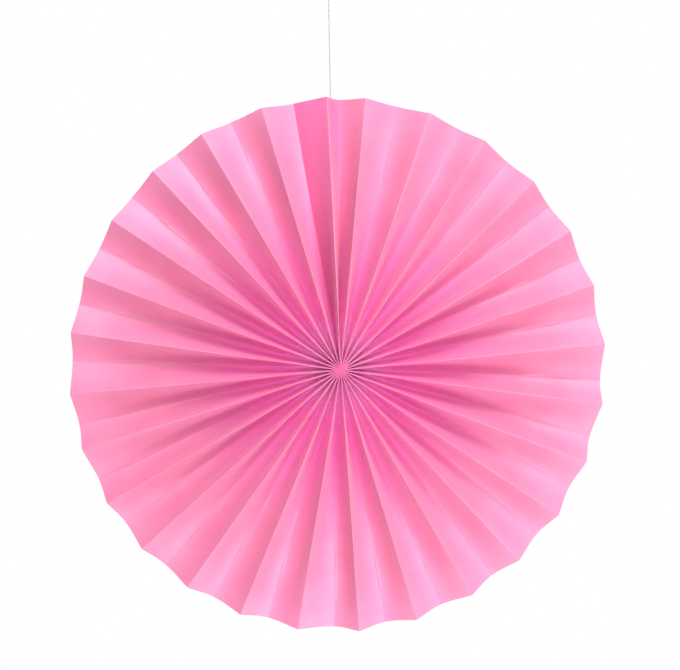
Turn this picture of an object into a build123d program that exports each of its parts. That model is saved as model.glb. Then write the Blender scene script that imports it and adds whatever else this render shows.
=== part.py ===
"""Paper fan rosette, hung on a thread.

One strip of thin paper is folded into even pleats. Its inner edge is gathered on a tie thread, so that the
pleats open into a round disc, and its two end panels are lapped and taped together into one seam. A hanging
thread is stuck behind the panel beside the seam, rises past the rim and ends in a knotted loop.

Units are millimetres. The disc stands upright with its front towards -Y and +Z up, and the origin is the
middle of the hub.

A panel keeps its width from the hub to the rim, while the space between its two folds grows with the radius.
So each panel stands nearly on edge at the hub and turns towards the plane of the disc further out. The angle
between a panel and the plane of the disc is called its twist here. Paper bends but doesn't stretch, so that
turn is built as flat facets at even steps of twist.
"""

from build123d import *
from math import acos, asin, cos, degrees, hypot, pi, radians, sin, tan
import os

os.makedirs("parts", exist_ok=True)

# Driving dimensions of the pleated disc
disc_radius = 200.0
pleat_count = 28
rim_depth = 12.0  # from the front folds to the back folds at the rim
paper_thickness = 0.12
layer_gap = 0.08  # air between two layers where the pleats are pressed together at the hub
facet_steps = 12  # steps of twist along one panel

# Seam, where the two end panels of the strip are lapped
seam_angle = 5.2  # degrees to the left of the top
seam_start_step = 2  # the lap begins this many steps out from the hub
lap_rise_start = 1.5  # from the back fold, across the panel
lap_edge = 4.0  # the hidden end panel stops this far short of the back fold
tape_start = 7.0  # from the back fold to the tape
tape_width = 12.0
tape_thickness = 0.1
tape_clearance = 0.03  # on each face of the tape

# Tie thread, through a pierced hole in every panel
tie_inset = 2.5  # from the inner edge of the paper to the holes
tie_diameter = 0.5
tie_clearance = 0.1
thread_sides = 8  # flats round a small tight thread

# Hanging thread, with the tab that sticks it on and the loop at its top
thread_diameter = 0.7
thread_rise = 82.0  # from the rim to the knot
thread_shift = 8.6  # the knot lies this far to the left of the hub
thread_clearance = 0.15
thread_start = 3.0  # the thread begins this far out from the inner end of the tab
thread_bend = 1.5  # and turns upright this far beyond the rim
tab_width = 9.0
tab_length = 13.0
tab_margin = 2.0  # from the tab to the rim
tab_thickness = 0.1
tab_clearance = 0.3
tab_ridge = 2.4  # width of the raised part that goes over the thread
knot_diameter = 2.2
knot_height = 2.6
loop_width = 6.0
loop_height = 13.0

# Sizes that follow from them
panel_angle = radians(180 / pleat_count)
half_angle = panel_angle / 2
panel_width = hypot(2 * disc_radius * sin(half_angle), rim_depth)
flat_radius = panel_width / 2 / sin(half_angle)  # where the panels would lie in the plane of the disc
layer_count = 2 * pleat_count + 1
hub_radius = layer_count * (paper_thickness + layer_gap) / (2 * pi)
seam_lift = paper_thickness + tape_thickness + 2 * tape_clearance
tie_radius = hub_radius + tie_inset


def twist_at(radius):
    """Angle in radians between a panel and the plane of the disc."""
    return acos(radius / flat_radius)


rim_twist = twist_at(disc_radius)
hub_twist = twist_at(hub_radius)
twists = [hub_twist + (rim_twist - hub_twist) * k / facet_steps for k in range(facet_steps + 1)]

# A panel is worked out beside the X axis, with its front fold over that axis and its back fold one panel
# angle clockwise of it. Z points to the front.
outwards = Vector(cos(half_angle), -sin(half_angle), 0)
sideways = Vector(sin(half_angle), cos(half_angle), 0)
frontwards = Vector(0, 0, 1)
front_fold = Plane(origin=(0, 0, 0), z_dir=(0, 1, 0))
back_fold = Plane(origin=(0, 0, 0), z_dir=(sin(panel_angle), cos(panel_angle), 0))


def on_panel(twist, across, lift=0.0, shift=0.0):
    """Point at a twist, this far across the panel from its back fold.

    lift moves it off the panel towards the front, and shift moves it sideways by what gives that thickness.
    """
    radius = flat_radius * cos(twist)
    along = across - panel_width / 2
    side = along * cos(twist) - lift * sin(twist) + shift / sin(twist)
    height = along * sin(twist) + lift * cos(twist)
    return outwards * radius * cos(half_angle) + sideways * side + frontwards * height


def layer(steps, rows, thickness, level=True):
    """Solid of one thin layer that follows a panel.

    steps lists its twists, and rows(twist) gives (across, lift) for each line along it. Between two steps and
    two rows it has two flat facets, parted along the diagonal from the inner front to the outer back corner.
    Its cut sides are level with the plane of the disc, as the folds need, or else square to the panel.
    """
    if level:
        front = [[on_panel(t, a, lift, -thickness / 2) for a, lift in rows(t)] for t in steps]
        back = [[on_panel(t, a, lift, thickness / 2) for a, lift in rows(t)] for t in steps]
    else:
        front = [[on_panel(t, a, lift + thickness / 2) for a, lift in rows(t)] for t in steps]
        back = [[on_panel(t, a, lift - thickness / 2) for a, lift in rows(t)] for t in steps]
    last_step = len(steps) - 1
    last_row = len(front[0]) - 1
    loops = []
    for i in range(last_step):
        for j in range(last_row):
            for skin in (front, back):
                loops.append([skin[i][j], skin[i][j + 1], skin[i + 1][j]])
                loops.append([skin[i][j + 1], skin[i + 1][j + 1], skin[i + 1][j]])
        for j in (0, last_row):
            loops.append([front[i][j], back[i][j], back[i + 1][j]])
            loops.append([front[i][j], back[i + 1][j], front[i + 1][j]])
    for j in range(last_row):
        for i in (0, last_step):
            loops.append([front[i][j], front[i][j + 1], back[i][j + 1], back[i][j]])
    return Solid(Shell([Face(Wire.make_polygon(loop)) for loop in loops]))


# The needle's hole for the tie thread, as it goes through one panel
with BuildPart() as tie_hole:
    with BuildSketch(Plane(origin=outwards * tie_radius, x_dir=outwards, z_dir=sideways)):
        RegularPolygon(tie_diameter / 2 + tie_clearance, 6)
    extrude(amount=tie_radius * tan(half_angle) * 2, both=True)

# One plain panel
with BuildPart() as panel:
    add(layer(twists, lambda twist: [(0, 0), (panel_width, 0)], paper_thickness))
    split(bisect_by=front_fold, keep=Keep.BOTTOM)
    split(bisect_by=back_fold, keep=Keep.TOP)
    add(tie_hole.part, mode=Mode.SUBTRACT)


# The seam: the strip's first panel is folded behind its last, which is lifted by the tape between them.
# Both lie left of the seam's front fold, so each is made as a panel right of it and then mirrored.
lap_twist = twists[seam_start_step]


def last_panel_rows(twist):
    lift = seam_lift if twist <= lap_twist else 0.0
    return [
        (0, 0),
        (lap_rise_start, 0),
        (lap_edge, lift),
        (tape_start, lift),
        (tape_start + tape_width, lift),
        (panel_width, lift),
    ]


def first_panel_rows(twist):
    return [(lap_edge, 0), (tape_start, 0), (tape_start + tape_width, 0), (panel_width, 0)]


def tape_rows(twist):
    return [(tape_start, seam_lift / 2), (tape_start + tape_width, seam_lift / 2)]


with BuildPart() as last_panel:
    add(layer(twists, last_panel_rows, paper_thickness))
    split(bisect_by=back_fold, keep=Keep.TOP)
    add(tie_hole.part, mode=Mode.SUBTRACT)

with BuildPart() as first_panel:
    add(layer(twists[seam_start_step:], first_panel_rows, paper_thickness))
    split(bisect_by=front_fold, keep=Keep.BOTTOM)

seam_place = 90 + seam_angle
with BuildPart(Plane.XZ) as pleated_paper:
    with PolarLocations(0, pleat_count, start_angle=seam_place):
        add(panel.part)
    with PolarLocations(0, pleat_count - 1, start_angle=seam_place + 360 / pleat_count,
                        angular_range=360 - 360 / pleat_count):
        add(panel.part.mirror(front_fold))
    with PolarLocations(0, 1, start_angle=seam_place):
        add(last_panel.part.mirror(front_fold))
        add(first_panel.part.mirror(front_fold))
pleated_paper.part.label = "pleated_paper"
export_step(pleated_paper.part, "parts/pleated_paper.step")

# Double-sided tape between the two lapped panels
with BuildPart(Plane.XZ) as seam_tape:
    with PolarLocations(0, 1, start_angle=seam_place):
        add(layer(twists[seam_start_step:-1], tape_rows, tape_thickness).mirror(front_fold))
seam_tape.part.label = "seam_tape"
export_step(seam_tape.part, "parts/seam_tape.step")

# Tie thread round the hub, through the holes
with BuildPart() as hub_thread:
    with BuildSketch(Plane.XY):
        with Locations((tie_radius, 0)):
            RegularPolygon(tie_diameter / 2, thread_sides)
    revolve(axis=Axis.Y)
hub_thread.part.label = "hub_thread"
export_step(hub_thread.part, "parts/hub_thread.step")


# Tab of clear tape behind the panel right of the seam, raised along its middle over the hanging thread
tab_low = paper_thickness / 2 + tab_clearance + tab_thickness / 2
tab_high = paper_thickness / 2 + thread_clearance * 2 + thread_diameter + tab_thickness / 2
tab_end = disc_radius - tab_margin
panel_middle = panel_width / 2


def tab_rows(twist):
    return [
        (panel_middle - tab_width / 2, -tab_low),
        (panel_middle - tab_ridge / 2, -tab_low),
        (panel_middle - tab_ridge / 4, -tab_high),
        (panel_middle + tab_ridge / 4, -tab_high),
        (panel_middle + tab_ridge / 2, -tab_low),
        (panel_middle + tab_width / 2, -tab_low),
    ]


with BuildPart(Plane.XZ) as thread_tab:
    with PolarLocations(0, 1, start_angle=seam_place):
        add(layer([twist_at(tab_end - tab_length), twist_at(tab_end)], tab_rows, tab_thickness, level=False))
thread_tab.part.label = "thread_tab"
export_step(thread_tab.part, "parts/thread_tab.step")

# Hanging thread: it lies along the middle of the panel under the tab, then rises straight to the knot
seam_frame = Plane(
    origin=(0, 0, 0), x_dir=(cos(radians(seam_place)), 0, sin(radians(seam_place))), z_dir=(0, -1, 0)
)
thread_lift = -(paper_thickness / 2 + thread_clearance + thread_diameter / 2)
thread_foot = seam_frame.from_local_coords(
    on_panel(twist_at(tab_end - tab_length + thread_start), panel_middle, thread_lift)
)
thread_turn = seam_frame.from_local_coords(
    on_panel(twist_at(disc_radius + thread_bend), panel_middle, thread_lift)
)
thread_top = Vector(-thread_shift, thread_turn.Y, disc_radius + thread_rise)
turn = radians((thread_turn - thread_foot).get_angle(thread_top - thread_turn))
turn_radius = 0.45 * (thread_turn - thread_foot).length / tan(turn / 2)
print("hanging thread turns", round(degrees(turn), 2), "degrees at radius", round(turn_radius))

with BuildPart() as hanging_thread:
    with BuildLine() as thread_route:
        FilletPolyline(thread_foot, thread_turn, thread_top, radius=turn_radius)
    with BuildSketch(Plane(origin=thread_route.line @ 0, z_dir=thread_route.line % 0)):
        Circle(thread_diameter / 2)
    sweep()
hanging_thread.part.label = "hanging_thread"
export_step(hanging_thread.part, "parts/hanging_thread.step")

# Knot on top of the thread, and the small loop above it that goes over a hook. Its legs run from the middle
# of the knot at a tangent to the round top.
knot_base = Plane(origin=thread_route.line @ 1, x_dir=(1, 0, 0), z_dir=thread_route.line % 1)
loop_face = Plane(origin=knot_base.origin, x_dir=knot_base.x_dir, z_dir=-knot_base.y_dir)
loop_radius = (loop_width - thread_diameter) / 2
loop_centre = knot_height + loop_height - thread_diameter / 2 - loop_radius
leg_angle = degrees(asin(loop_radius / (loop_centre - knot_height / 2)))

with BuildPart() as knotted_loop:
    with BuildSketch(loop_face):
        with BuildLine():
            Line((0, 0), (thread_diameter, 0))
            ThreePointArc((thread_diameter, 0), (knot_diameter / 2, knot_height / 2),
                          (thread_diameter, knot_height))
            Line((thread_diameter, knot_height), (0, knot_height))
            Line((0, knot_height), (0, 0))
        make_face()
    revolve(axis=Axis(knot_base.origin, knot_base.z_dir))
    with BuildLine(loop_face) as loop_half:
        crown = CenterArc((0, loop_centre), loop_radius, 90, 90 + leg_angle)
        Line(crown @ 1, (0, knot_height / 2))
    with BuildSketch(Plane(origin=loop_half.line @ 0, z_dir=loop_half.line % 0)):
        RegularPolygon(thread_diameter / 2, thread_sides)
    sweep()
    mirror(about=Plane(origin=knot_base.origin, z_dir=knot_base.x_dir))
knotted_loop.part.label = "knotted_loop"
export_step(knotted_loop.part, "parts/knotted_loop.step")

hook_point = knot_base.origin + knot_base.z_dir * (loop_centre + loop_radius - thread_diameter / 2)
print("a hook bears on the loop at", hook_point)
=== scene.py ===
import random
from math import asin, atan2, cos, exp, hypot, pi, radians, sin, sqrt

import bpy
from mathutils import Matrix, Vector


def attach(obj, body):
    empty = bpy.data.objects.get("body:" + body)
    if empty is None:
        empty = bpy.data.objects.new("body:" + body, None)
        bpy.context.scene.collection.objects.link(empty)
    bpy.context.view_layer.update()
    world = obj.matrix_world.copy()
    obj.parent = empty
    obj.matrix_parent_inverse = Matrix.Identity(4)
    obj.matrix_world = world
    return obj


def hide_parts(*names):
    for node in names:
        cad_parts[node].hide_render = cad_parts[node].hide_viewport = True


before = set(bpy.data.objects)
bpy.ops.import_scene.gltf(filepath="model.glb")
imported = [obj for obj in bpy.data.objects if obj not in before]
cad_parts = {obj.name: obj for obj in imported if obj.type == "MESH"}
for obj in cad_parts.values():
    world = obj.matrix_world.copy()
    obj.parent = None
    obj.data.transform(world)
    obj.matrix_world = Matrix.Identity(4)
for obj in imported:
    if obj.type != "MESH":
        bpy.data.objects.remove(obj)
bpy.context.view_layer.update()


# ---------------------------------------------------------------------------------------------------------
# Camera. It stands 0.7 m in front of the fan with a 50 mm lens, a little above the fan's middle and a little
# to its left, and aims just above the hub.
camera_distance = 0.708
camera_height = radians(5.6)
camera_turn = radians(-2.6)
camera_lens = 49.9
camera_sensor = 36.0
camera_aim = Vector((-0.0007, -0.0127, 0.0260))

camera_data = bpy.data.cameras.new("camera")
camera_data.lens = camera_lens
camera_data.sensor_width = camera_sensor
camera = bpy.data.objects.new("camera", camera_data)
bpy.context.scene.collection.objects.link(camera)
camera.location = (
    camera_distance * sin(camera_turn) * cos(camera_height),
    -camera_distance * cos(camera_turn) * cos(camera_height),
    camera_distance * sin(camera_height),
)
camera.rotation_euler = (camera_aim - camera.location).to_track_quat("-Z", "Y").to_euler()
bpy.context.scene.camera = camera


# ---------------------------------------------------------------------------------------------------------
# Hanging thread. Thin spun cotton with a faint pink cast. Its foot is stuck under a tab behind the panel
# right of the seam, and it rises taut to a knot just above the picture.
thread_diameter = 0.0007
thread_route = [
    (-0.00682, 0.00046, 0.18758),
    (-0.00723, 0.00050, 0.20105),
    (-0.00860, 0.00050, 0.28200),
]

thread_curve = bpy.data.curves.new("cotton_thread", "CURVE")
thread_curve.dimensions = "3D"
thread_curve.resolution_u = 24
thread_curve.bevel_depth = thread_diameter / 2
thread_curve.bevel_resolution = 4
thread_curve.use_fill_caps = True
thread_line = thread_curve.splines.new("NURBS")
thread_line.points.add(len(thread_route) - 1)
for point, place in zip(thread_line.points, thread_route):
    point.co = (*place, 1.0)
thread_line.order_u = 3
thread_line.use_endpoint_u = True
cotton_thread = bpy.data.objects.new("cotton_thread", thread_curve)
bpy.context.scene.collection.objects.link(cotton_thread)


def twisted_yarn():
    """Node group: the slanting plies of a twisted yarn, as one mask for colour and height."""
    group = bpy.data.node_groups.new("twisted_yarn", "ShaderNodeTree")
    group.interface.new_socket("Scale", in_out="INPUT", socket_type="NodeSocketFloat")
    group.interface.new_socket("Ply", in_out="OUTPUT", socket_type="NodeSocketFloat")
    node, link = group.nodes.new, group.links.new
    given, made = node("NodeGroupInput"), node("NodeGroupOutput")
    place = node("ShaderNodeTexCoord")
    slant = node("ShaderNodeMapping")
    slant.inputs["Rotation"].default_value = (radians(35), radians(30), 0)
    plies = node("ShaderNodeTexWave")
    plies.bands_direction = "Z"
    plies.inputs["Distortion"].default_value = 0.6
    plies.inputs["Detail"].default_value = 1.0
    link(place.outputs["Object"], slant.inputs["Vector"])
    link(slant.outputs["Vector"], plies.inputs["Vector"])
    link(given.outputs["Scale"], plies.inputs["Scale"])
    link(plies.outputs["Fac"], made.inputs["Ply"])
    return group


def mix_colour(tree, mask, low, high):
    """Mix node between two colours by a mask socket, whose colour output it returns."""
    mixed = tree.nodes.new("ShaderNodeMix")
    mixed.data_type = "RGBA"
    tree.links.new(mask, mixed.inputs["Factor"])
    mixed.inputs["A"].default_value = (*low, 1.0)
    mixed.inputs["B"].default_value = (*high, 1.0)
    return mixed.outputs["Result"]


def bump(tree, height, strength, distance):
    """Bump node on a height socket, whose normal output it returns."""
    made = tree.nodes.new("ShaderNodeBump")
    made.inputs["Strength"].default_value = strength
    made.inputs["Distance"].default_value = distance
    tree.links.new(height, made.inputs["Height"])
    return made.outputs["Normal"]


yarn_group = twisted_yarn()


def yarn_material(name, shaded_hollow, crown):
    """Spun cotton: matt twisted plies, with painted shade where they meet."""
    material = bpy.data.materials.new(name)
    material.use_nodes = True
    tree = material.node_tree
    shader = tree.nodes["Principled BSDF"]
    yarn = tree.nodes.new("ShaderNodeGroup")
    yarn.node_tree = yarn_group
    yarn.inputs["Scale"].default_value = 420.0
    tree.links.new(mix_colour(tree, yarn.outputs["Ply"], shaded_hollow, crown), shader.inputs["Base Color"])
    tree.links.new(bump(tree, yarn.outputs["Ply"], 0.4, 0.00005), shader.inputs["Normal"])
    shader.inputs["Roughness"].default_value = 0.85
    shader.inputs["Sheen Weight"].default_value = 0.2
    return material


thread_cotton = yarn_material("thread_cotton", (0.37, 0.28, 0.32), (0.43, 0.33, 0.37))
cotton_thread.data.materials.append(thread_cotton)
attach(cotton_thread, "root")
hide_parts("hanging_thread")


# ---------------------------------------------------------------------------------------------------------
# Pleated paper. One strip of thin pink paper 200 mm wide, folded into 57 panels of one inch. The inner edge
# is gathered to a hub, and the two end panels are lapped, the last one in front with its cut edge just short
# of the seam's front fold.
disc_radius = 0.200
hub_radius = 0.0005
pleat_count = 28
rim_depth = 0.012
strip_length = 1.45
paper_thickness = 0.00012
panel_count = 2 * pleat_count + 1
panel_angle = 180.0 / pleat_count
panel_width = hypot(2 * disc_radius * sin(radians(panel_angle / 2)), rim_depth)
flat_radius = panel_width / 2 / sin(radians(panel_angle / 2))

seam_angle = 5.2  # degrees left of the top
seam_lift = 0.00030  # between the middles of the two lapped panels
seam_depth = 0.35  # the seam's fold stands out by this share more at the rim
hidden_trim = 0.004  # the hidden end panel stops this far short of its back fold
seam_trim = 0.0026  # the last panel stops this far short of the seam's front fold

front_bend_radius = 0.00014  # front folds are soft, and back folds sharp
hub_bend_radius = 0.00026  # front folds grow softer towards the hub, from hub_bend_reach in
hub_bend_reach = 0.05
back_bend_radius = 0.00005
bend_room = 0.45  # no bend takes more than this share of the room that its fold has
bend_share = 0.02  # of a panel's width in the mesh, at either side

panel_sag = 0.0029  # how far a panel's wall sinks back between its folds
sag_peak = 6.75  # scales the sag's curve to 1 at its deepest, a third of the way from the back fold
sag_full_radius = 0.15  # the sag grows from the hub to here
rim_hold = 0.55  # share of the sag that the rim takes away, from rim_hold_start out
rim_hold_start = 0.16
rim_hold_reach = 0.04
thread_pull = 0.00155  # the first panel is drawn back to the thread that is stuck to it
pull_start = 0.14
pull_reach = 0.045
bow_height = 0.0005
wave_height = 0.00018

dye_deep = (0.74, 0.203, 0.368)  # the paper's two near shades, which drift over it in clouds
dye_pale = (0.76, 0.230, 0.393)
painted_shade_hub_folds = (0.86, 0.110, 0.38)  # painted shade towards the hub, deeper pink that stays on the front folds there
painted_light_sunk = (1.0, 0.52, 0.87)  # painted light on the walls low between the folds there, where little light comes
painted_light_core = (1.0, 0.68, 0.90)  # painted light on the walls around the hub itself
painted_shade_lapped = (0.80, 0.135, 0.37)  # painted shade on the two lapped panels, and on the first one beside them, which lies in their shade
dye_fibre = (0.90, 0.46, 0.64)
painted_highlight_folds = (1.0, 0.54, 0.78)  # painted highlight along the front folds
dye_through = (0.80, 0.18, 0.62)  # light that has come through the outer paper
through_least, through_most = 0.15, 0.85  # share of the light that comes through, flat and sunk

# Degrees that single folds have slipped, by the number of the fold line.
slipped_folds = {0: 2.3, 2: -1.2, 15: 1.2, 17: 0.9, 29: -1.2, 40: 0.7, 41: -0.7}

chance = random.Random(37634)
fold_jitter = [chance.uniform(-0.34, 0.34) for _ in range(2 * pleat_count)]
fold_depth = [chance.uniform(-0.10, 0.10) for _ in range(2 * pleat_count)]
panel_bow = [chance.uniform(-1.0, 1.0) for _ in range(panel_count)]
panel_wave = [chance.uniform(0.0, 2 * pi) for _ in range(panel_count)]
panel_bow[-1], panel_wave[-1] = panel_bow[0], panel_wave[0]  # the two lapped panels lie together


def ease(x):
    """Smooth step from 0 at x = 0 to 1 at x = 1."""
    x = min(max(x, 0.0), 1.0)
    return x * x * (3 - 2 * x)


def fold_angle(line):
    """Degrees clockwise from the top. Line 0 is the seam's front fold, and odd lines are back folds."""
    turn, line = divmod(line, 2 * pleat_count)
    even = line * panel_angle
    stray = slipped_folds.get(line, 0.0)
    if line > 0:
        # On both sides of the seam the folds have closed up towards it, within 60 degrees to its right and
        # 18 degrees or so to its left. From the right round to the lower left they have slid down.
        closed_right = -1.1 * (1 - ease((even - 35) / 25))
        closed_left = 2.2 * exp((even - 360) / 18)
        slid_down = 1.6 * ease((even - 55) / 160) * (1 - ease((even - 240) / 10))
        stray += closed_right + closed_left
        stray += slid_down
        stray += fold_jitter[line]
    return 360 * turn + even - seam_angle + stray


def fold_place(line, radius):
    """Point on a fold line, in metres."""
    share = sqrt(1 - (radius / flat_radius) ** 2)
    loose = (radius / disc_radius) ** 2
    line_depth = seam_depth if line % (2 * pleat_count) == 0 else fold_depth[line % (2 * pleat_count)]
    height = panel_width / 2 * share * (1 + line_depth * loose) * (1 if line % 2 == 0 else -1)
    angle = radians(fold_angle(line))
    return Vector((radius * sin(angle), -height, radius * cos(angle)))


def panel_frame(panel, radius):
    """Both folds of a panel at a radius, and the direction square to it towards the front.

    Panel 0 is the hidden end panel, which lies left of the seam's front fold.
    """
    start, end = fold_place(panel - 1, radius), fold_place(panel, radius)
    angle = radians(fold_angle(panel))
    front = (end - start).cross(Vector((sin(angle), 0, cos(angle)))).normalized()
    return start, end, -front if front.y > 0 else front


def softness(panel, radius):
    """Share of panel_sag that a panel has at a radius. The one beside the first panel has half of it."""
    held = rim_hold * ease((radius - rim_hold_start) / rim_hold_reach)
    return min(1.0, radius / sag_full_radius) * (1 - held) * (0.5 if panel == 2 else 1.0)


def paper_place(panel, across, radius, lift=0.0):
    """Point on a panel, across from 0 to 1 between its folds, and lifted off its front face, in metres.

    Each fold is a small round bend, and the wall runs between two bends. Where across is under bend_share
    from a fold, it is the share of that fold's bend.
    """
    start, end, front = panel_frame(panel, radius)
    forth = 1 if panel % 2 else -1  # a panel's first fold is a front one, or a back one
    hub_share = 1 - ease(radius / hub_bend_reach)
    front_bend = front_bend_radius + (hub_bend_radius - front_bend_radius) * hub_share
    front_bend = min(front_bend, bend_room * radians(panel_angle) * radius)
    back_bend = min(back_bend_radius, front_bend)
    start_bend, end_bend = (front_bend, back_bend) if panel % 2 else (back_bend, front_bend)
    flat_way = Vector((end.x - start.x, 0, end.z - start.z))
    run = flat_way.length
    flat_way /= run
    rise = forth * (end.y - start.y) - start_bend - end_bend
    slope = atan2(rise, run) + asin(min(1.0, (start_bend + end_bend) / hypot(run, rise)))
    backwards = Vector((0, forth, 0))
    start_middle, end_middle = start + backwards * start_bend, end - backwards * end_bend
    tip = flat_way * sin(slope) - backwards * cos(slope)
    if across < bend_share or across > 1 - bend_share:
        turned = slope * min(across, 1 - across) / bend_share
        reach = flat_way * sin(turned) - backwards * cos(turned)
        place = start_middle + reach * start_bend if across < 0.5 else end_middle - reach * end_bend
    else:
        share = (across - bend_share) / (1 - 2 * bend_share)
        place = (start_middle + tip * start_bend).lerp(end_middle - tip * end_bend, share)
    if panel == 1:
        lift -= thread_pull * sin(pi * across) * ease((radius - pull_start) / pull_reach)
    elif 1 < panel < panel_count - 1:
        from_back = 1 - across if panel % 2 else across
        lift -= panel_sag * softness(panel, radius) * sag_peak * from_back * (1 - from_back) ** 2
    loose = sin(pi * across) * ease(radius / disc_radius * 1.3) * sin(0.8 * pi * radius / disc_radius)
    wave = sin(2 * pi * across) * sin(9 * radius / disc_radius + panel_wave[panel])
    lift += loose * bow_height * panel_bow[panel]
    lift += loose * wave_height * wave
    return place + front * lift


# The sheet is a flat grid, whose columns are closer together at the bends. Each point goes to its place.
panel_steps = (0.0, 0.007, 0.014, 0.02, 0.08, 0.2, 0.4, 0.6, 0.8, 0.92, 0.98, 0.986, 0.993)
radius_steps = 44
bpy.ops.object.select_all(action="DESELECT")
bpy.ops.mesh.primitive_grid_add(
    x_subdivisions=panel_count * len(panel_steps), y_subdivisions=radius_steps, size=1.0
)
pleated_sheet = bpy.context.object
pleated_sheet.name = pleated_sheet.data.name = "pleated_sheet"
front_fold = pleated_sheet.data.attributes.new("front_fold_distance", "FLOAT", "POINT")
for vertex in pleated_sheet.data.vertices:
    column = round((vertex.co.x + 0.5) * panel_count * len(panel_steps))
    panel = min(column // len(panel_steps), panel_count - 1)
    step = column - panel * len(panel_steps)
    across = panel_steps[step] if step < len(panel_steps) else 1.0
    if panel == 0:
        across = hidden_trim / panel_width + across * (1 - hidden_trim / panel_width)
    elif panel == panel_count - 1:
        across *= 1 - seam_trim / panel_width
    radius = hub_radius + (vertex.co.y + 0.5) * (disc_radius - hub_radius)
    lift = 0.0
    if panel == panel_count - 1:  # it rises from its back fold and the hub onto the tape
        lift = seam_lift * ease((across - 0.06) / 0.1) * min(1.0, radius / 0.03)
    front_fold.data[vertex.index].value = (across if panel % 2 else 1 - across) * panel_width
    vertex.co = paper_place(panel, across, radius, lift)

bpy.ops.object.select_all(action="DESELECT")
pleated_sheet.select_set(True)
bpy.context.view_layer.objects.active = pleated_sheet
bpy.ops.object.mode_set(mode="EDIT")
bpy.ops.mesh.select_all(action="SELECT")
bpy.ops.mesh.normals_make_consistent(inside=False)
bpy.ops.object.mode_set(mode="OBJECT")


def thicken(sheet, thickness, smooth_angle):
    """Wall of a thickness, in metres, half on either side of a sheet's faces, smooth up to an angle."""
    wall = sheet.modifiers.new("thickness", "SOLIDIFY")
    wall.thickness = thickness
    wall.offset = 0.0
    bpy.ops.object.modifier_apply(modifier=wall.name)
    bpy.ops.object.shade_smooth_by_angle(angle=radians(smooth_angle))


thicken(pleated_sheet, paper_thickness, 60)


def paper_grain():
    """Node group: soft clouds, short fibres and the fine grain of a thin paper, on a vector in metres."""
    group = bpy.data.node_groups.new("paper_grain", "ShaderNodeTree")
    group.interface.new_socket("Vector", in_out="INPUT", socket_type="NodeSocketVector")
    node, link = group.nodes.new, group.links.new
    given, made = node("NodeGroupInput"), node("NodeGroupOutput")
    for name, scale, detail, distortion, low, high in (
        ("Cloud", 42.0, 4.0, 0.4, 0.34, 0.66),
        ("Fibre", 620.0, 3.0, 3.5, 0.56, 0.74),
        ("Grain", 3600.0, 3.0, 0.0, 0.25, 0.75),
    ):
        group.interface.new_socket(name, in_out="OUTPUT", socket_type="NodeSocketFloat")
        noise, contrast = node("ShaderNodeTexNoise"), node("ShaderNodeMapRange")
        noise.inputs["Scale"].default_value = scale
        noise.inputs["Detail"].default_value = detail
        noise.inputs["Distortion"].default_value = distortion
        contrast.inputs["From Min"].default_value = low
        contrast.inputs["From Max"].default_value = high
        link(given.outputs["Vector"], noise.inputs["Vector"])
        link(noise.outputs["Fac"], contrast.inputs["Value"])
        link(contrast.outputs["Result"], made.inputs[name])
    return group


def times(tree, mask, other):
    """Product of a mask socket and another one, or a number."""
    product = tree.nodes.new("ShaderNodeMath")
    product.operation = "MULTIPLY"
    tree.links.new(mask, product.inputs[0])
    if isinstance(other, float):
        product.inputs[1].default_value = other
    else:
        tree.links.new(other, product.inputs[1])
    return product.outputs[0]


def mix_onto(tree, mask, under, over, most):
    """Mix node that lays the colour over onto the colour socket under, by up to most of a mask socket."""
    mixed = tree.nodes.new("ShaderNodeMix")
    mixed.data_type = "RGBA"
    tree.links.new(times(tree, mask, most), mixed.inputs["Factor"])
    tree.links.new(under, mixed.inputs["A"])
    mixed.inputs["B"].default_value = (*over, 1.0)
    return mixed.outputs["Result"]


def spread(tree, value, low, high):
    """Soft mask that goes from 0 where a value socket is low to 1 where it is high."""
    mask = tree.nodes.new("ShaderNodeMapRange")
    mask.interpolation_type = "SMOOTHSTEP"
    mask.inputs["From Min"].default_value = low
    mask.inputs["From Max"].default_value = high
    tree.links.new(value, mask.inputs["Value"])
    return mask.outputs["Result"]


paper = bpy.data.materials.new("dyed_pink_paper")
paper.use_nodes = True
tree = paper.node_tree
shader = tree.nodes["Principled BSDF"]
flat_place = tree.nodes.new("ShaderNodeUVMap")
flat_place.uv_map = "UVMap"
flat_size = tree.nodes.new("ShaderNodeMapping")
flat_size.inputs["Scale"].default_value = (strip_length, disc_radius, 1.0)
grain = tree.nodes.new("ShaderNodeGroup")
grain.node_tree = paper_grain()
tree.links.new(flat_place.outputs["UV"], flat_size.inputs["Vector"])
tree.links.new(flat_size.outputs["Vector"], grain.inputs["Vector"])

# The UV map runs along the strip and outwards from the hub, both from 0 to 1. The gap is the distance from
# the panel's front fold, in metres.
flat_way = tree.nodes.new("ShaderNodeSeparateXYZ")
tree.links.new(flat_place.outputs["UV"], flat_way.inputs["Vector"])
along, outwards = flat_way.outputs["X"], flat_way.outputs["Y"]
fold_distance = tree.nodes.new("ShaderNodeAttribute")
fold_distance.attribute_name = "front_fold_distance"
gap = fold_distance.outputs["Fac"]

inner = spread(tree, outwards, 0.75, 0.05)
outer = spread(tree, outwards, 0.1, 0.6)
around_hub = spread(tree, outwards, 0.24, 0.03)
off_front_fold = spread(tree, gap, 0.001, 0.010)
off_back_fold = spread(tree, gap, 0.0252, 0.0235)
last_panel = spread(tree, along, 1 - 1.02 / panel_count, 1 - 0.99 / panel_count)
first_panels = spread(tree, along, 2.02 / panel_count, 1.99 / panel_count)
# The walls low between the folds towards the hub, and those around the hub, get painted light.
sunk = times(tree, inner, times(tree, off_front_fold, off_back_fold))
core = times(tree, around_hub, spread(tree, gap, 0.0005, 0.004))
# A painted highlight along the front folds, away from the hub.
front_fold_highlight = times(tree, spread(tree, gap, 0.0005, 0.0), outer)

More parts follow.
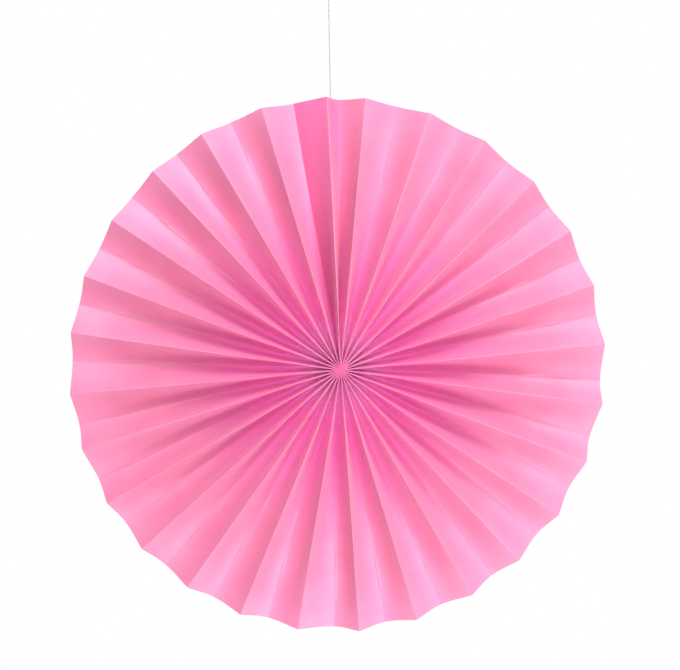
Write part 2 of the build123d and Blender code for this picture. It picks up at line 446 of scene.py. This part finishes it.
dye = mix_colour(tree, grain.outputs["Cloud"], dye_deep, dye_pale)
# Over the clouds go painted shade on the front folds towards the hub, painted light on the walls low between
# the folds and around the hub, painted shade on the lapped panels and the first one beside them, the fibres,
# and a painted highlight along the front folds.
for mask, over, most in (
    (inner, painted_shade_hub_folds, 1.0),
    (sunk, painted_light_sunk, 1.0),
    (core, painted_light_core, 1.0),
    (times(tree, last_panel, outer), painted_shade_lapped, 0.8),
    (times(tree, first_panels, outer), painted_shade_lapped, 0.7),
    (grain.outputs["Fibre"], dye_fibre, 0.30),
    (front_fold_highlight, painted_highlight_folds, 0.30),
):
    dye = mix_onto(tree, mask, dye, over, most)
tree.links.new(dye, shader.inputs["Base Color"])
tree.links.new(bump(tree, grain.outputs["Grain"], 0.12, 0.00004), shader.inputs["Normal"])
shader.inputs["Roughness"].default_value = 0.58
shader.inputs["Specular IOR Level"].default_value = 0.8
shader.inputs["Sheen Weight"].default_value = 0.7
shader.inputs["Sheen Roughness"].default_value = 0.4
shader.inputs["Sheen Tint"].default_value = (1.0, 0.50, 0.55, 1.0)

through = tree.nodes.new("ShaderNodeBsdfTranslucent")
tree.links.new(mix_onto(tree, outer, dye, dye_through, 0.7), through.inputs["Color"])
through_share = tree.nodes.new("ShaderNodeMapRange")
through_share.inputs["To Min"].default_value = through_least
through_share.inputs["To Max"].default_value = through_most
tree.links.new(sunk, through_share.inputs["Value"])
both = tree.nodes.new("ShaderNodeMixShader")
tree.links.new(through_share.outputs["Result"], both.inputs["Fac"])
tree.links.new(shader.outputs["BSDF"], both.inputs[1])
tree.links.new(through.outputs["BSDF"], both.inputs[2])
tree.links.new(both.outputs["Shader"], tree.nodes["Material Output"].inputs["Surface"])

pleated_sheet.data.materials.append(paper)
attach(pleated_sheet, "root")
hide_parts("pleated_paper")


# ---------------------------------------------------------------------------------------------------------
# Seam tape. Double-sided tape on a pale tissue, 12 mm wide. It is stuck along the hidden end panel, from
# near the hub out to the rim, and the last panel is pressed down on it.
tape_start = 0.007
tape_width = 0.012
tape_thickness = 0.0001
tape_inner = 0.043
tape_outer = 0.196


def laid_strip(name, columns, rows, place, thickness):
    """Thin strip as a grid whose points go to place(across, along), both from 0 to 1, in metres."""
    bpy.ops.object.select_all(action="DESELECT")
    bpy.ops.mesh.primitive_grid_add(x_subdivisions=columns, y_subdivisions=rows, size=1.0)
    strip = bpy.context.object
    strip.name = strip.data.name = name
    for vertex in strip.data.vertices:
        vertex.co = place(vertex.co.x + 0.5, vertex.co.y + 0.5)
    thicken(strip, thickness, 50)
    return strip


def mottled_material(name, scale, detail, low, high, bump_strength, bump_distance):
    """Material between two near colours, which a noise mottles and bumps. Its shader is returned too."""
    material = bpy.data.materials.new(name)
    material.use_nodes = True
    tree = material.node_tree
    shader = tree.nodes["Principled BSDF"]
    place = tree.nodes.new("ShaderNodeTexCoord")
    mottle = tree.nodes.new("ShaderNodeTexNoise")
    mottle.inputs["Scale"].default_value = scale
    mottle.inputs["Detail"].default_value = detail
    tree.links.new(place.outputs["Object"], mottle.inputs["Vector"])
    tree.links.new(mix_colour(tree, mottle.outputs["Fac"], low, high), shader.inputs["Base Color"])
    normal = bump(tree, mottle.outputs["Fac"], bump_strength, bump_distance)
    tree.links.new(normal, shader.inputs["Normal"])
    return material, shader


def tape_place(across, along):
    radius = tape_inner + along * (tape_outer - tape_inner)
    return paper_place(0, (tape_start + across * tape_width) / panel_width, radius, seam_lift / 2)


lap_tape = laid_strip("lap_tape", 10, 36, tape_place, tape_thickness)
tissue, shader = mottled_material(
    "tape_tissue", 900.0, 4.0, (0.78, 0.76, 0.70), (0.93, 0.92, 0.88), 0.4, 0.00003
)
shader.inputs["Roughness"].default_value = 0.5
lap_tape.data.materials.append(tissue)
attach(lap_tape, "root")
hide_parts("seam_tape")


# ---------------------------------------------------------------------------------------------------------
# Thread tab. Clear glossy tape behind the panel right of the seam, stuck down on both sides of the hanging
# thread and tented over it.
tab_width = 0.009
tab_length = 0.013
tab_outer = 0.198
tab_thickness = 0.00006
tab_tent = 0.0022
tab_gap = 0.0001


def tab_place(across, along):
    radius = tab_outer - tab_length * (1 - along)
    start, end, front = panel_frame(1, radius)
    share = (radius - thread_route[0][2]) / (thread_route[1][2] - thread_route[0][2])
    thread = Vector(thread_route[0]).lerp(Vector(thread_route[1]), share)
    width = (end - start).length
    off = (across - 0.5) * tab_width
    paper = paper_place(1, (thread - start).dot(end - start) / width ** 2 + off / width, radius)
    behind = (paper - thread).dot(front) + thread_diameter / 2 + tab_gap
    flat = paper_thickness / 2 + tab_thickness
    return paper - front * (flat + (behind - flat) * ease(1.25 - abs(off) / tab_tent))


thread_tape = laid_strip("thread_tape", 36, 12, tab_place, tab_thickness)
clear_film, shader = mottled_material(
    "clear_film", 350.0, 3.0, (0.86, 0.87, 0.86), (0.97, 0.97, 0.96), 0.3, 0.00004
)
shader.inputs["Roughness"].default_value = 0.12
shader.inputs["Alpha"].default_value = 0.35
thread_tape.data.materials.append(clear_film)
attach(thread_tape, "root")
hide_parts("thread_tab")


# ---------------------------------------------------------------------------------------------------------
# Tie thread and knotted loop. The strong pink thread that closes the hub, deep between the pleats, and the
# knot and loop at the top of the hanging thread keep their solids, and get the look of spun cotton.
tie_cotton = yarn_material("tie_cotton", (0.72, 0.16, 0.34), (0.85, 0.24, 0.44))
for node_name, cotton in (("hub_thread", tie_cotton), ("knotted_loop", thread_cotton)):
    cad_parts[node_name].data.materials.clear()
    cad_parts[node_name].data.materials.append(cotton)


# ---------------------------------------------------------------------------------------------------------
# Light. A soft box behind the camera, one high on the right, one over the top, a small one low on the right,
# one behind the paper that shines through it, and a white room.
floor_height = -0.75
floor_radius = 1.2
floor_glow = 0.3
room_light = 0.14

for name, place, size, power in (
    ("front_box", (-0.05, -1.28, 0.22), 0.45, 9.8),
    ("right_box", (0.42, -0.90, 0.84), 0.45, 15.4),
    ("top_box", (0.0, -0.55, 1.18), 0.45, 5.6),
    ("low_box", (0.21, -0.37, -0.42), 0.21, 1.8),
    ("back_box", (0.0, 1.3, 0.0), 0.45, 17.0),
):
    lamp_data = bpy.data.lights.new(name, "AREA")
    lamp_data.shape = "SQUARE"
    lamp_data.size = size
    lamp_data.energy = power
    lamp = bpy.data.objects.new(name, lamp_data)
    lamp.visible_camera = False
    bpy.context.scene.collection.objects.link(lamp)
    lamp.location = place
    lamp.rotation_euler = (-Vector(place)).to_track_quat("-Z", "Y").to_euler()

bpy.ops.object.select_all(action="DESELECT")
bpy.ops.mesh.primitive_circle_add(
    vertices=96, radius=floor_radius, fill_type="NGON", location=(0, 0, floor_height)
)
floor = bpy.context.object
floor.name = "floor"
floor_paint = bpy.data.materials.new("floor_paint")
floor_paint.use_nodes = True
tree = floor_paint.node_tree
shader = tree.nodes["Principled BSDF"]
shader.inputs["Base Color"].default_value = (0.82, 0.82, 0.82, 1)
shader.inputs["Roughness"].default_value = 0.9
shader.inputs["Emission Color"].default_value = (1, 1, 1, 1)
shader.inputs["Emission Strength"].default_value = floor_glow
floor.data.materials.append(floor_paint)

world = bpy.data.worlds.new("studio")
bpy.context.scene.world = world
world.use_nodes = True
sky = world.node_tree
background = sky.nodes["Background"]
path = sky.nodes.new("ShaderNodeLightPath")


def ray_mask(operation, first, second):
    """Math node on two ray masks, whose output it returns. A None stands for 1."""
    made = sky.nodes.new("ShaderNodeMath")
    made.operation = operation
    for socket, mask in zip(made.inputs, (first, second)):
        if mask is None:
            socket.default_value = 1.0
        else:
            sky.links.new(mask, socket)
    return made.outputs[0]


# The camera, mirrors and clear pieces see a white room. Rays that spread through paper see the lighting.
clear_rays = ray_mask("MAXIMUM", path.outputs["Is Glossy Ray"], path.outputs["Is Transmission Ray"])
clear_rays = ray_mask("MULTIPLY", clear_rays, ray_mask("SUBTRACT", None, path.outputs["Is Diffuse Ray"]))
seen = ray_mask("MAXIMUM", path.outputs["Is Camera Ray"], clear_rays)
white = sky.nodes.new("ShaderNodeBackground")
white.inputs["Color"].default_value = (1, 1, 1, 1)
white.inputs["Strength"].default_value = 1.0
background.inputs["Color"].default_value = (1, 1, 1, 1)
background.inputs["Strength"].default_value = room_light
seen_mix = sky.nodes.new("ShaderNodeMixShader")
sky.links.new(seen, seen_mix.inputs["Fac"])
sky.links.new(background.outputs[0], seen_mix.inputs[1])
sky.links.new(white.outputs[0], seen_mix.inputs[2])
sky.links.new(seen_mix.outputs[0], sky.nodes["World Output"].inputs["Surface"])

bpy.context.scene.view_settings.view_transform = "Standard"
